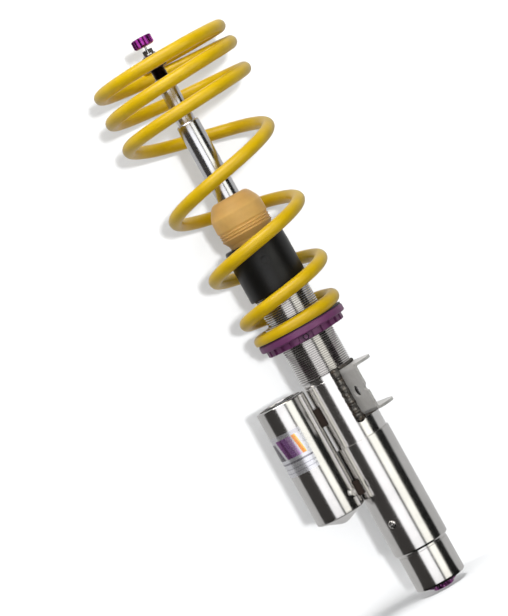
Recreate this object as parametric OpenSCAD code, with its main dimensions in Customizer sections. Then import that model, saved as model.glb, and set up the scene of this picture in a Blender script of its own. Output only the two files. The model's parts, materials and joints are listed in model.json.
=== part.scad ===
// Height-adjustable front strut with a cone-shaped coil spring and a side reservoir.
// Millimetres. Origin: on the axis, at the lower end of the clamped wall. +Z runs up the
// strut, the reservoir stands on the -X side and -Y is the strut's front.

/* [Strut tube] */
// Outer diameter of the end that the wheel carrier clamps
clamp_d = 49; // [48.5:0.1:50]
// Height of the clamped end, up to the shoulder
clamp_h = 36; // [30:1:42]
// Outer diameter of the housing above the shoulder
housing_d = 54; // [53:0.5:54.5]
// Height at which the housing meets the threaded tube
housing_top = 148.5; // [145:0.5:152]
// Outer diameter of the smooth tube below the thread
tube_d = 51; // [50:0.1:51.5]
// Crest diameter of the perch thread
thread_d = 52; // [51.8:0.1:52.2]
// Height at which the perch thread starts
thread_base = 215; // [213:0.5:216]
// Height of the tube's top edge
tube_top = 336; // [334:0.5:337]

/* [Rod] */
// Piston rod diameter
rod_d = 22; // [20:0.5:22]
// Height of the shoulder where the top mount sits
shoulder_z = 475; // [465:1:480]
// Diameter of the pin above the shoulder
pin_d = 17; // [15:0.5:17]
// Nominal diameter of the thread at the rod's end
rod_thread_d = 14; // [12:0.5:14]
// Height of the rod's tip
rod_tip_z = 550; // [548:1:552]

/* [Spring] */
// Wire diameter
wire_d = 12.2; // [11:0.1:12.6]
// Segments in one turn of the wire
wire_steps = 24; // [16:1:32]
// Sides of the wire
wire_sides = 10; // [8:1:12]

/* [Perch] */
// Height of the face that the spring rests on, with its slip ring
seat_z = 266; // [262:0.5:268]
// Diameter of the collar's flange
flange_d = 85.4; // [82:0.2:88]
// Diameter of the notched ring below the flange
notch_ring_d = 77; // [74:0.5:79]
// Number of spanner notches
notches = 24; // [18:1:30]

/* [Reservoir] */
// Outer diameter
res_d = 48.2; // [46:0.1:48.2]
// Height of the reservoir tube's bottom edge
res_base = 98.5; // [95:0.5:102]
// Height of its top edge
res_top = 212.7; // [208:0.1:214]
// How far its axis stands to the left of the strut
res_x = 50.4; // [50.4:0.1:52]
// How far its axis stands in front of the strut
res_y = 10.5; // [10.5:0.5:13]

/* [Link bracket] */
// Sheet thickness
plate_t = 2.5; // [2:0.1:3]
// Turn of the bracket from the front, about the strut
bracket_turn = 32; // [25:1:40]
// Height of the hole for the link stud
hole_z = 190; // [188:0.5:192]
// Diameter of that hole
hole_d = 11; // [10:0.5:12.5]
// Distance of the hole from the strut's axis
hole_reach = 39; // [37:0.5:42]

/* [Hidden] */
$fn = 72;

eps = 0.01;          // overlap that keeps a cut from leaving a skin
run_fit = 0.08;      // radial clearance of a turning or sliding fit
gap = 0.3;           // space between parts of two bodies that only pass each other

tube_bore = 42;
spigot_d = 44;
spigot_base = 118;
relief_z = 210;
relief_d = 50;
shoulder_chamfer = 1.5;
foot_chamfer = 1.4;

cyl_d = 39;
cyl_bore = 36;
valve_z = 12;
cyl_base = 22;
guide_z = 318;
guide_spigot_z = 307.5;
seal_z = 331;
gland_top = 340;
wiper_top = 341;
bush_r = 12.5;

plug_drop = 2;
cartridge_r = 9;
needle_r = 3;

knob_top = -2.4;
knob_step = -4.4;
knob_base = -7.4;

piston_top = 296.5;
piston_base = 282;
rod_neck_z = 300;
rod_neck_r = 6;
rod_base = 268;
thread_z = 522;
tip_hex_z = 546;
nut_z = 532;
stem_r = 2;
stem_thin_r = 1.05;
stem_step_z = 545;
rebound_knob_z = 553.6;
rebound_knob_h = 9.1;
rebound_knob_r = 9.85;
flutes = 9;
flute_r = 2.6;
set_screw_turn = 130;

sleeve_r = 29;
sleeve_bore_r = 26.35;
sleeve_base = 302.4;
sleeve_top = 354;
sleeve_lid = 3;
foam_top = 398;
foam_neck_r = 20.8;

flange_base = 258;
ring_base = 252;
slip_t = 1;
insert_r = 30;
insert_base = 253;
insert_top = 276;
lock_r = 3;
lock_z = 255.4;

res_bore = 42;
res_turn = atan2(-res_y, -res_x);
res_reach = norm([res_x, res_y]);
port_z = 111;
port_r = 3;
float_z = 140;
float_h = 18;
label_z = 148;
label_h = 40;
label_t = 0.2;

web_offset = 5.6;
plate_reach = 55.5;
plate_side = 24;
plate_corner = 21.5;
plate_low = 168.6;
plate_high = 212.2;
bend_r = 4;
weld_r = 4.2;

// pitch of the spring, in mm a turn, at stations counted in turns from its lower end
pitch_at = [[0, 2], [1, 38], [2, 57], [3.9, 84.5], [4.1, 28], [5.75, 26], [6.4, 6], [6.8, 3]];
// radius of the wire's centre line at stations along the spring
coil_radius_at = [[0, 38.4], [0.5, 39.2], [4.25, 64.4], [5.25, 65.2], [6.8, 61.2]];
coil_start_z = 268.6;
coil_lead_in = 0.15;
coil_turns = 6.8;

// height gained inside one stretch of the pitch list
function stretch_rise(i, turn) =
    let (low = pitch_at[i], high = pitch_at[i + 1], part = min(turn, high[0]) - low[0])
    part <= 0 ? 0 :
    low[1] * part + (high[1] - low[1]) * part * part / (2 * (high[0] - low[0]));

function total(list, i = 0) = i < len(list) ? list[i] + total(list, i + 1) : 0;

function coil_z(turn) =
    coil_start_z + total([for (i = [0 : len(pitch_at) - 2]) stretch_rise(i, turn)]);

// the wire's centre at a turn: turn 0 is on the left, and it climbs through the front
function coil_point(turn) =
    let (a = 180 + 360 * turn, r = lookup(max(turn, 0), coil_radius_at))
    [r * cos(a), r * sin(a), coil_z(turn)];

// one ring of points around the wire, square to the centre line in plan
function wire_ring(turn) =
    let (a = 180 + 360 * turn, centre = coil_point(turn))
    [for (k = [0 : wire_sides - 1])
        let (b = 360 * (k + 0.5) / wire_sides, flat = wire_d / 2 / cos(180 / wire_sides))
        centre + [flat * cos(b) * cos(a), flat * cos(b) * sin(a), flat * sin(b)]];

module ring(r_out, r_in, z0, z1) {
    translate([0, 0, z0]) difference() {
        cylinder(r = r_out, h = z1 - z0);
        translate([0, 0, -eps]) cylinder(r = r_in, h = z1 - z0 + 2 * eps);
    }
}

module rod(r, z0, z1, sides = $fn) {
    translate([0, 0, z0]) cylinder(r = r, h = z1 - z0, $fn = sides);
}

module hex(across_flats, z0, z1) {
    rod(across_flats / 2 / cos(30), z0, z1, 6);
}

module around(angle, reach, z) {
    rotate([0, 0, angle]) translate([reach, 0, z]) children();
}

module at_reservoir() {
    translate([-res_x, -res_y, 0]) children();
}

// a round passage from the strut's bore into the reservoir's
module oil_port() {
    rotate([0, 0, res_turn]) translate([housing_d / 2 - 8, 0, port_z])
        rotate([0, 90, 0]) cylinder(r = port_r, h = 16);
}

// bracket coordinates: x out from the strut's axis, y to the right, z up
module at_bracket() {
    rotate([0, 0, -90 + bracket_turn]) children();
}

module link_hole() {
    translate([hole_reach, -web_offset - 1, hole_z]) rotate([-90, 0, 0])
        cylinder(d = hole_d, h = plate_t + 2);
}

// ---- strut tube ----

module lower_housing() {
    color("silver") difference() {
        rotate_extrude() polygon([
            [spigot_d / 2, -foot_chamfer], [clamp_d / 2 - foot_chamfer, -foot_chamfer],
            [clamp_d / 2, 0], [clamp_d / 2, clamp_h], [housing_d / 2 - shoulder_chamfer, clamp_h],
            [housing_d / 2, clamp_h + shoulder_chamfer], [housing_d / 2, housing_top],
            [spigot_d / 2, housing_top]]);
        oil_port();
    }
}

module threaded_tube() {
    color("silver") rotate_extrude() polygon([
        [tube_bore / 2, spigot_base], [spigot_d / 2, spigot_base], [spigot_d / 2, housing_top],
        [tube_d / 2, housing_top], [tube_d / 2, relief_z], [relief_d / 2, relief_z + 0.5],
        [relief_d / 2, thread_base - 1], [thread_d / 2, thread_base],
        [thread_d / 2, tube_top - 1], [thread_d / 2 - 1, tube_top], [tube_bore / 2, tube_top]]);
}

module locating_weld() {
    dot_r = 6;
    color("lightgray") difference() {
        around(-90 - 33, housing_d / 2 - 4.2, 67.5) sphere(r = dot_r);
        rod(housing_d / 2, 50, 90);
    }
}

module base_plug() {
    color("gray") rotate_extrude() polygon([
        [cartridge_r, -plug_drop], [cartridge_r + 6, -plug_drop],
        [spigot_d / 2, -foot_chamfer], [spigot_d / 2, valve_z], [cartridge_r, valve_z]]);
}

module compression_cartridge() {
    color("goldenrod") ring(cartridge_r, needle_r + run_fit, -plug_drop, 34);
}

module base_valve() {
    color("slategray") difference() {
        union() {
            rod(tube_bore / 2, valve_z, cyl_base);
            rod(cyl_bore / 2, cyl_base, cyl_base + 8);
        }
        rod(cartridge_r, valve_z - eps, cyl_base + 9);
        for (k = [0 : 7]) around(k * 45, 13.5, valve_z - 1) cylinder(r = 2, h = 20);
    }
}

module damper_cylinder() {
    color("lightsteelblue") ring(cyl_d / 2, cyl_bore / 2, cyl_base, guide_z);
}

module rod_guide() {
    color("slategray") {
        ring(tube_bore / 2, bush_r, guide_z, seal_z);
        ring(cyl_bore / 2, bush_r, guide_spigot_z, guide_z);
    }
}

module guide_bush() {
    color("peru") ring(bush_r, rod_d / 2 + run_fit, guide_spigot_z, seal_z);
}

module rod_seal() {
    color("dimgray") ring(tube_bore / 2, rod_d / 2 + run_fit, seal_z, seal_z + 3);
}

module gland_nut() {
    color("darkgray") difference() {
        union() {
            rod(tube_bore / 2, seal_z + 3, tube_top);
            rod(24.5, tube_top, gland_top);
        }
        rod(16, seal_z, gland_top + 1);
        for (k = [0 : 3]) around(k * 90 + 45, 20.5, tube_top + 1) cylinder(r = 2, h = 4);
    }
}

module wiper_seal() {
    color("dimgray") rotate_extrude() polygon([
        [rod_d / 2 + run_fit, seal_z + 3.5], [16, seal_z + 3.5], [16, gland_top],
        [13.5, gland_top], [rod_d / 2 + 0.8, wiper_top], [rod_d / 2 + run_fit, wiper_top]]);
}

// ---- link bracket ----

// a flange's outline: square to the web, with one large round corner
module plate_outline() {
    round_x = plate_reach - plate_corner;
    round_y = plate_side - plate_corner;
    translate([0, -web_offset]) square([round_x, plate_side + web_offset]);
    translate([0, -web_offset]) square([plate_reach, round_y + web_offset]);
    translate([round_x, round_y]) circle(r = plate_corner);
}

// the channel's section, across the web and up
module channel_section() {
    low = plate_low - plate_t / 2;
    high = plate_high + plate_t / 2;
    difference() {
        rounded_channel(low, high, 0, bend_r);
        rounded_channel(low + plate_t, high - plate_t, plate_t, bend_r - plate_t);
    }
}

module rounded_channel(low, high, inset, r) {
    left = -web_offset + inset;
    right = plate_side + 2 * inset;
    translate([left + r, low]) square([right - left - r, high - low]);
    translate([left, low + r]) square([r + eps, high - low - 2 * r]);
    translate([left + r, low + r]) circle(r = r);
    translate([left + r, high - r]) circle(r = r);
}

module link_bracket() {
    color("darkgray") difference() {
        at_bracket() intersection() {
            rotate([90, 0, 90]) linear_extrude(height = plate_reach + 1) channel_section();
            translate([0, 0, plate_low - 5]) linear_extrude(height = plate_high - plate_low + 10)
                plate_outline();
        }
        rod(tube_d / 2, plate_low - 10, plate_high + 10);
        at_bracket() link_hole();
        at_bracket() translate([plate_reach, -web_offset - 1, hole_z])
            rotate([-90, 0, 0]) cylinder(r = 3, h = plate_t + 2);
    }
}

module bracket_weld() {
    color("dimgray") difference() {
        union() {
            at_bracket() {
                translate([25.6, -web_offset - 0.8, plate_low - 1]) sphere(r = weld_r);
                translate([25.6, -web_offset - 0.8, plate_low - 1])
                    cylinder(r = weld_r, h = plate_high - plate_low + 2);
                translate([25.6, -web_offset - 0.8, plate_high + 1]) sphere(r = weld_r);
            }
            for (z = [plate_low - plate_t, plate_high + plate_t])
                rotate([0, 0, -90 + bracket_turn - 6]) rotate_extrude(angle = 62)
                    translate([tube_d / 2 + 0.6, z]) circle(r = 2.2);
        }
        rod(tube_d / 2, plate_low - 10, plate_high + 10);
        rod(thread_d / 2 + 0.1, thread_base - 1.2, plate_high + 10);
        at_bracket() translate([0, -web_offset, plate_low - plate_t / 2])
            cube([60, 40, plate_high - plate_low + plate_t]);
    }
}

// ---- reservoir ----

module reservoir_tube() {
    circlip_z = res_top - 3.2;
    color("silver") difference() {
        at_reservoir() rotate_extrude() polygon([
            [res_bore / 2, res_base], [res_d / 2, res_base],
            [res_d / 2, res_top - 1], [res_d / 2 - 1, res_top], [res_bore / 2, res_top],
            [res_bore / 2, circlip_z + 1.5], [res_bore / 2 + 0.8, circlip_z + 1.5],
            [res_bore / 2 + 0.8, circlip_z], [res_bore / 2, circlip_z]]);
        oil_port();
    }
}

module reservoir_top_cap() {
    color("gray") at_reservoir() difference() {
        rod(res_bore / 2, res_top - 13, res_top - 3.2);
        ring_cut(res_bore / 2, 1.9, res_top - 9);
        rod(4, res_top - 14, res_top);
    }
}

module reservoir_circlip() {
    color("dimgray") at_reservoir() difference() {
        ring(res_bore / 2 + 0.8, res_bore / 2 - 2, res_top - 3.2, res_top - 1.7);
        translate([0, 14, res_top - 4]) cube([7, 20, 4]);
    }
}

module reservoir_base_cap() {
    color("silver") at_reservoir() difference() {
        rotate_extrude() polygon([
            [0, res_base + 8], [res_bore / 2, res_base + 8], [res_bore / 2, res_base],
            [res_d / 2, res_base], [res_d / 2, res_base - 1], [res_d / 2 - 2, res_base - 2.4],
            [19, res_base - 3], [4, res_base - 9.6], [0, res_base - 10.2]]);
        ring_cut(res_bore / 2, 1.9, res_base + 4);
    }
}

// a square groove around a plug, for its O-ring
module ring_cut(r, depth, z) {
    ring(r + 1, r - depth, z - 1, z + 1);
}

module cap_o_rings() {
    color("black") at_reservoir() for (z = [res_top - 9, res_base + 4])
        rotate_extrude() translate([res_bore / 2 - 0.9, z]) circle(r = 0.88);
}

module gas_valve_screw() {
    color("black") at_reservoir() difference() {
        union() {
            rod(4, res_top - 13, res_top - 3.2);
            rod(6, res_top - 3.2, res_top - 0.8);
        }
        hex(5, res_top - 4, res_top);
    }
}

// a block that fills the groove between the two tubes
module groove_block(z0, z1, width, tube_r) {
    $fn = 240;
    difference() {
        rotate([0, 0, res_turn]) translate([tube_r - 5, -width / 2, z0])
            cube([res_reach - res_d / 2 - tube_r + 10, width, z1 - z0]);
        rod(tube_r, z0 - 1, z1 + 1);
        at_reservoir() rod(res_d / 2, z0 - 1, z1 + 1);
    }
}

module bridge_block() {
    color("darkgray") difference() {
        groove_block(port_z - 7, port_z + 7, 20, housing_d / 2);
        oil_port();
    }
}

module reservoir_saddle() {
    color("darkgray") groove_block(174, 192, 16, tube_d / 2);
}

module bleed_plug() {
    color("white") at_reservoir() rotate([0, 0, -90 + 50]) difference() {
        translate([res_d / 2 - 1, 0, port_z]) rotate([0, 90, 0]) union() {
            cylinder(r = 4.6, h = 2);
            translate([0, 0, 2]) cylinder(r1 = 4.6, r2 = 3.6, h = 0.8, $fn = 48);
        }
        translate([0, 0, port_z]) cylinder(r = res_d / 2, h = 12, center = true);
        translate([res_d / 2 + 1, 0, port_z]) rotate([0, 90, 0]) cylinder(r = 2.2, h = 3, $fn = 6);
    }
}

module reservoir_label() {
    color("whitesmoke") at_reservoir() rotate([0, 0, -90 - 108]) rotate_extrude(angle = 121)
        translate([res_d / 2, label_z]) square([label_t, label_h]);
}

module floating_piston() {
    color("lightgray") at_reservoir() difference() {
        rod(res_bore / 2 - run_fit, float_z, float_z + float_h);
        rod(res_bore / 2 - 5, float_z + 5, float_z + float_h + 1);
        ring_cut(res_bore / 2, 2.2, float_z + 5);
        ring_cut(res_bore / 2, 2.2, float_z + 12);
    }
}

module floating_piston_seal() {
    color("black") at_reservoir() for (z = [5, 12])
        ring(res_bore / 2 - run_fit, res_bore / 2 - 2.2, float_z + z - 1, float_z + z + 1);
}

// ---- adjusters ----

module compression_knob() {
    teeth = 18;
    dimples = 8;
    color("rebeccapurple") difference() {
        rotate_extrude() polygon([
            [needle_r, knob_base], [9.5, knob_base], [10.3, knob_base + 0.8],
            [10.3, knob_step], [13.4, knob_step], [14.2, knob_step + 0.7],
            [14.2, knob_top - 0.7], [13.4, knob_top], [needle_r, knob_top]]);
        for (k = [0 : teeth - 1]) around(k * 360 / teeth, 14.6, knob_step - 1)
            cylinder(r = 1.5, h = 4);
        for (k = [0 : dimples - 1]) around(k * 360 / dimples, 10.6, knob_base - 1)
            cylinder(r = 1.3, h = 3.6);
    }
}

module compression_needle() {
    color("silver") {
        rod(needle_r, knob_base + 1, 28);
        translate([0, 0, 28]) cylinder(r1 = needle_r, r2 = 1, h = 8, $fn = 48);
    }
}

module rebound_knob() {
    top = rebound_knob_z + rebound_knob_h;
    color("mediumvioletred") difference() {
        rotate_extrude() polygon([
            [stem_thin_r, rebound_knob_z], [rebound_knob_r - 1, rebound_knob_z],
            [rebound_knob_r, rebound_knob_z + 1], [rebound_knob_r, top - 1],
            [rebound_knob_r - 1, top], [stem_thin_r, top]]);
        for (k = [0 : flutes - 1])
            around(k * 360 / flutes - 70, rebound_knob_r + 1.3, rebound_knob_z - 1)
                cylinder(r = flute_r, h = rebound_knob_h + 2);
        around(set_screw_turn, 2, top - 4.5) rotate([0, 90, 0]) cylinder(r = 1.5, h = 10);
    }
}

module rebound_stem() {
    color("silver") {
        translate([0, 0, rod_base]) cylinder(r1 = 1, r2 = stem_r, h = 6, $fn = 48);
        rod(stem_r, rod_base + 6, stem_step_z);
        rod(stem_thin_r, stem_step_z, rebound_knob_z + rebound_knob_h - 1);
    }
}

module knob_set_screw() {
    color("black") around(set_screw_turn, 2, rebound_knob_z + rebound_knob_h - 4.5)
        rotate([0, 90, 0]) difference() {
            cylinder(r = 1.5, h = 5);
            translate([0, 0, 3]) cylinder(r = 0.8, h = 3, $fn = 6);
        }
}

// ---- rod and piston ----

module piston_rod() {
    color("silver") difference() {
        union() {
            rod(rod_neck_r, rod_base, rod_neck_z);
            rod(rod_d / 2, rod_neck_z, shoulder_z - 1);
            translate([0, 0, shoulder_z - 1]) cylinder(r1 = rod_d / 2, r2 = rod_d / 2 - 1, h = 1);
            rod(pin_d / 2, shoulder_z, thread_z - 1);
            translate([0, 0, thread_z - 1])
                cylinder(r1 = pin_d / 2, r2 = rod_thread_d / 2 - 0.2, h = 1);
            rod(rod_thread_d / 2 - 0.2, thread_z, tip_hex_z);
            hex(9.7, tip_hex_z, rod_tip_z);
        }
        rod(stem_r + run_fit, rod_base - 1, stem_step_z + 0.4);
        rod(stem_thin_r + run_fit, stem_step_z, rod_tip_z + 1);
    }
}

module topout_bumper() {
    color("black") ring(16.5, rod_d / 2, rod_neck_z, rod_neck_z + 6.8);
}

module backing_washer() {
    color("gray") ring(16.5, rod_neck_r, piston_top + 1.8, rod_neck_z);
}

module compression_shims() {
    color("lightsteelblue") for (k = [0 : 3])
        ring(16 - 1.6 * k, rod_neck_r, piston_top + 0.45 * k, piston_top + 0.45 * (k + 1));
}

module piston() {
    color("gray") difference() {
        rod(cyl_bore / 2 - 0.4, piston_base, piston_top);
        rod(rod_neck_r, piston_base - 1, piston_top + 1);
        ring(cyl_bore / 2 + 1, cyl_bore / 2 - 1.6, piston_base + 3, piston_top - 3);
        for (k = [0 : 5]) around(k * 60, 11.5, piston_base - 1) cylinder(r = 2, h = 18);
    }
}

module piston_band() {
    color("saddlebrown") ring(cyl_bore / 2 - run_fit, cyl_bore / 2 - 1.6, piston_base + 3, piston_top - 3);
}

module rebound_shims() {
    color("lightsteelblue") for (k = [0 : 3])
        ring(16 - 1.6 * k, rod_neck_r, piston_base - 0.5 * (k + 1), piston_base - 0.5 * k);
}

module piston_nut() {
    color("gray") difference() {
        hex(19, rod_base + 2, piston_base - 2);
        rod(rod_neck_r, rod_base, piston_base);
    }
}

module rod_locknut() {
    color("dimgray") difference() {
        union() {
            hex(21, nut_z, nut_z + 9);
            rod(10.2, nut_z - 1, nut_z);
            rod(8.6, nut_z + 9, nut_z + 12.5);
        }
        rod(rod_thread_d / 2 - 0.2, nut_z - 2, nut_z + 14);
    }
}

// ---- bump stop ----

module bump_stop() {
    bore_r = rod_d / 2 + 0.35;
    foot = wiper_top + gap;
    lid = sleeve_top - sleeve_lid;
    color("burlywood") rotate_extrude() polygon([
        [bore_r, foot], [sleeve_bore_r - 1, foot], [sleeve_bore_r - 1, lid], [foam_neck_r, lid],
        [foam_neck_r, sleeve_top], [21.5, 359], [24.4, 362.5], [24.4, 365], [23.2, 366.2],
        [24.8, 367.4], [25, 369], [24.2, 370.4], [25.2, 373], [25.3, 384], [22.6, 389],
        [17.5, 395.5], [14.5, foam_top], [bore_r, foam_top]]);
}

module dust_sleeve() {
    color("black") difference() {
        rotate_extrude() polygon([
            [sleeve_bore_r, sleeve_base], [sleeve_r, sleeve_base], [sleeve_r, sleeve_top - 14],
            [sleeve_r - 0.8, sleeve_top - 1], [sleeve_r - 1.8, sleeve_top],
            [foam_neck_r, sleeve_top], [foam_neck_r, sleeve_top - sleeve_lid],
            [sleeve_bore_r, sleeve_top - sleeve_lid]]);
        around(-90 + 2, sleeve_r - 0.6, 333) rotate([0, 90, 0]) cylinder(r = 3.6, h = 3);
    }
}

// ---- spring and perch ----

module slip_ring() {
    color("black") ring(flange_d / 2 - 0.8, insert_r + 1, seat_z - slip_t + 0.05, seat_z);
}

module coil_spring() {
    rings = ceil((coil_turns + coil_lead_in) * wire_steps);
    turns = [for (i = [0 : rings]) i / wire_steps - coil_lead_in];
    points = [for (turn = turns) each wire_ring(turn)];
    sides = [for (i = [0 : rings - 1], k = [0 : wire_sides - 1])
        let (a = i * wire_sides, next = (k + 1) % wire_sides)
        [a + k, a + wire_sides + k, a + wire_sides + next, a + next]];
    first = [for (k = [0 : wire_sides - 1]) k];
    last = [for (k = [wire_sides - 1 : -1 : 0]) rings * wire_sides + k];
    color("gold") difference() {
        polyhedron(points = points, faces = concat([first], sides, [last]), convexity = 12);
        translate([0, 0, seat_z - 20]) cube([200, 200, 40], center = true);
    }
}

module perch_collar() {
    color("indigo") difference() {
        union() {
            rotate_extrude() polygon([
                [insert_r, flange_base], [flange_d / 2 - 0.6, flange_base],
                [flange_d / 2, flange_base + 0.6], [flange_d / 2, seat_z - slip_t - 0.8],
                [flange_d / 2 - 0.8, seat_z - slip_t], [insert_r, seat_z - slip_t]]);
            ring(notch_ring_d / 2, insert_r, ring_base, flange_base);
        }
        for (k = [0 : notches - 1])
            around(-90 + (k + 0.5) * 360 / notches, notch_ring_d / 2 - 2.4, ring_base - 1)
                translate([0, -2, 0]) cube([4, 4, flange_base - ring_base + 1]);
        around(-90, insert_r - 1, lock_z) rotate([0, 90, 0]) cylinder(r = lock_r, h = 20);
    }
}

module collar_insert() {
    color("silver") difference() {
        rotate_extrude() polygon([
            [thread_d / 2 + run_fit, insert_base], [insert_r, insert_base],
            [insert_r, insert_top - 1], [insert_r - 1, insert_top],
            [thread_d / 2 + run_fit + 0.6, insert_top], [thread_d / 2 + run_fit, insert_top - 0.6]]);
        around(-90, thread_d / 2 - 1, lock_z) rotate([0, 90, 0]) cylinder(r = lock_r - 1, h = 6);
    }
}

module collar_lock_screw() {
    color("gray") around(-90, insert_r, lock_z) rotate([0, 90, 0]) difference() {
        cylinder(r = lock_r, h = 8.3);
        translate([0, 0, 5.5]) cylinder(r = 1.7, h = 4, $fn = 6);
    }
}

module lock_pad() {
    color("white") around(-90, thread_d / 2 + 0.6, lock_z) rotate([0, 90, 0])
        cylinder(r = lock_r - 1, h = insert_r - thread_d / 2 - 0.6);
}

lower_housing();
threaded_tube();
locating_weld();
base_plug();
base_valve();
compression_cartridge();
damper_cylinder();
rod_guide();
guide_bush();
rod_seal();
gland_nut();
wiper_seal();
link_bracket();
bracket_weld();
reservoir_tube();
reservoir_top_cap();
reservoir_circlip();
reservoir_base_cap();
cap_o_rings();
gas_valve_screw();
bridge_block();
reservoir_saddle();
bleed_plug();
reservoir_label();
floating_piston();
floating_piston_seal();
compression_knob();
compression_needle();
piston_rod();
topout_bumper();
backing_washer();
compression_shims();
piston();
piston_band();
rebound_shims();
piston_nut();
rod_locknut();
rebound_knob();
rebound_stem();
knob_set_screw();
bump_stop();
dust_sleeve();
slip_ring();
coil_spring();
perch_collar();
collar_insert();
collar_lock_screw();
lock_pad();
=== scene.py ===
import json
import math
from types import SimpleNamespace

import bmesh
import bpy
from mathutils import Matrix, Vector, noise


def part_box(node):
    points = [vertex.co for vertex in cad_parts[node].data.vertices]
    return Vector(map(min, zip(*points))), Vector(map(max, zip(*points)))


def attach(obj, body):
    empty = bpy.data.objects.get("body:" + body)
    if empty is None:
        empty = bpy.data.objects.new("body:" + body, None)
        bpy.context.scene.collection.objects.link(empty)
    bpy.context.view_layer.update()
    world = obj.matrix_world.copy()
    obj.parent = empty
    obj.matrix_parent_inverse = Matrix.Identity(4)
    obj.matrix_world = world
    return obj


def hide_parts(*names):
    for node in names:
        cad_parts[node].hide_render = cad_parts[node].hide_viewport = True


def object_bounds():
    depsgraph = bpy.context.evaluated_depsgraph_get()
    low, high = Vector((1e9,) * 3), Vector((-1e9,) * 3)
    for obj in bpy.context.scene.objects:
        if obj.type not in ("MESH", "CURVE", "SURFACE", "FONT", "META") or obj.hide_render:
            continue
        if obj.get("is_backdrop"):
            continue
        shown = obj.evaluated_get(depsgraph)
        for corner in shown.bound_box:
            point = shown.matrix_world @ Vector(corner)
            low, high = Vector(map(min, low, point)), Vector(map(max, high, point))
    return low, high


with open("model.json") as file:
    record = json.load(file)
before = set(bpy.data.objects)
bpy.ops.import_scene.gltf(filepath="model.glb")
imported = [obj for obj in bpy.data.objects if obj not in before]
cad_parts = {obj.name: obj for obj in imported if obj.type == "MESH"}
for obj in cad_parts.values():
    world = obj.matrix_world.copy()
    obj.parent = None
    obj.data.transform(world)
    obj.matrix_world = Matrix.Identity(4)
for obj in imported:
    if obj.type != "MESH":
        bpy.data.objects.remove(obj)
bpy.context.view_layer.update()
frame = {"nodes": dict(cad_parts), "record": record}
NODES = frame["nodes"]

MM = 0.001
FULL = 2 * math.pi
FINE = 192        # columns round a polished barrel, enough that its mirror image runs smooth
ROUGH = 96        # columns round a small or matt part


# ---- places taken from the frame ----

def place(node):
    """A node's radius, its low and high ends and the place of its axis, in mm, from its box."""
    low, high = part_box(node)
    low, high = low / MM, high / MM
    return SimpleNamespace(r=(high.x - low.x) / 2, low=low.z, high=high.z,
                           x=(low.x + high.x) / 2, y=(low.y + high.y) / 2)


HOUSING = place("lower_housing")
TUBE = place("threaded_tube")
RESERVOIR = place("reservoir_tube")
BASE_CAP = place("reservoir_base_cap")
LABEL = place("reservoir_label")
ROD = place("piston_rod")
NUT = place("rod_locknut")
TOP_KNOB = place("rebound_knob")
LOW_KNOB = place("compression_knob")
SLEEVE = place("dust_sleeve")
FOAM = place("bump_stop")
COLLAR = place("perch_collar")
INSERT = place("collar_insert")
SLIP = place("slip_ring")
SLOT_OF = {part["node"]: part["material_slot"] for part in frame["record"]["subparts"]}
BODY_OF = {node: body for body, nodes in frame["record"]["behaviour"]["bodies"].items()
           for node in nodes}


# ---- sizes kept in step with the CAD, in mm, and one angle in radians ----

TUBE_BORE = 21
SPIGOT_R = 22         # inner face of the housing, and outer face of the tube inside it
CLAMP_R = 24.5
CLAMP_TOP = 36
SMOOTH_R = 25.5       # tube between the housing and the thread
RELIEF_R = 25         # bottom of the thread, and of the relief below it
RELIEF_LOW = 210
THREAD_LOW = 215
THREAD_PITCH = 2.0
THREAD_DEPTH = 0.98
BRACKET_TURN = math.radians(-90 + 32)   # the way the link bracket points, seen from above
WEB_FACE = -5.6       # where the bracket's web stands, to the side of that line
RES_BORE = 21
LOCK_Z = 255.4        # height of the collar's lock screw
ROD_R = 11
PIN_R = 8.5
SHOULDER = 475
PIN_TOP = 521
ROD_THREAD_LOW = 522
ROD_THREAD_R = 6.8
ROD_THREAD_PITCH = 1.5
HEX_LOW = 546
STEM_STEP = 545.4     # the rod's bore narrows here, round the thin end of the rebound stem


# ---- mesh making ----

def eased(points, size=0.5, arc=3):
    """A closed outline of (radius, height[, own easing]) with its corners rounded."""
    out = []
    count = len(points)
    for i, point in enumerate(points):
        here = Vector(point[:2])
        own = point[2] if len(point) > 2 else size
        before, after = Vector(points[i - 1][:2]) - here, Vector(points[(i + 1) % count][:2]) - here
        reach = min(own, before.length * 0.45, after.length * 0.45)
        if reach < 0.02 or here.x < 1e-6:
            out.append(tuple(here))
            continue
        first, last = here + before.normalized() * reach, here + after.normalized() * reach
        for k in range(arc + 1):
            t = k / arc
            out.append(tuple(first * (1 - t) ** 2 + here * (2 * t * (1 - t)) + last * t * t))
    return out


def turned(outline, steps=FINE, centre=(0, 0), reach=None, columns=None):
    """Turns a closed outline about an upright axis. reach(angle, radius, height) may pull it in."""
    angles = columns or [FULL * j / steps for j in range(steps)]
    count = len(angles)
    verts = []
    for radius, height in outline:
        for angle in angles:
            r = reach(angle, radius, height) if reach else radius
            verts.append((centre[0] + r * math.cos(angle), centre[1] + r * math.sin(angle), height))
    faces = []
    for i in range(len(outline)):
        low, high = i * count, (i + 1) % len(outline) * count
        for j in range(count):
            k = (j + 1) % count
            faces.append((low + j, low + k, high + k, high + j))
    return verts, faces


def as_mesh(name, shells, crease=35):
    """One mesh in metres from shells of (vertices, faces) in mm, closed and facing outwards."""
    bm = bmesh.new()
    for verts, faces in shells:
        made = [bm.verts.new(Vector(v) * MM) for v in verts]
        for face in faces:
            corners = [made[i] for i in dict.fromkeys(face)]
            if len(corners) > 2:
                bm.faces.new(corners)
    bmesh.ops.remove_doubles(bm, verts=bm.verts, dist=1e-6)
    bmesh.ops.recalc_face_normals(bm, faces=bm.faces)
    mesh = bpy.data.meshes.new(name)
    bm.to_mesh(mesh)
    bm.free()
    mesh.polygons.foreach_set("use_smooth", [True] * len(mesh.polygons))
    mesh.set_sharp_from_angle(angle=math.radians(crease))
    return mesh


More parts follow.
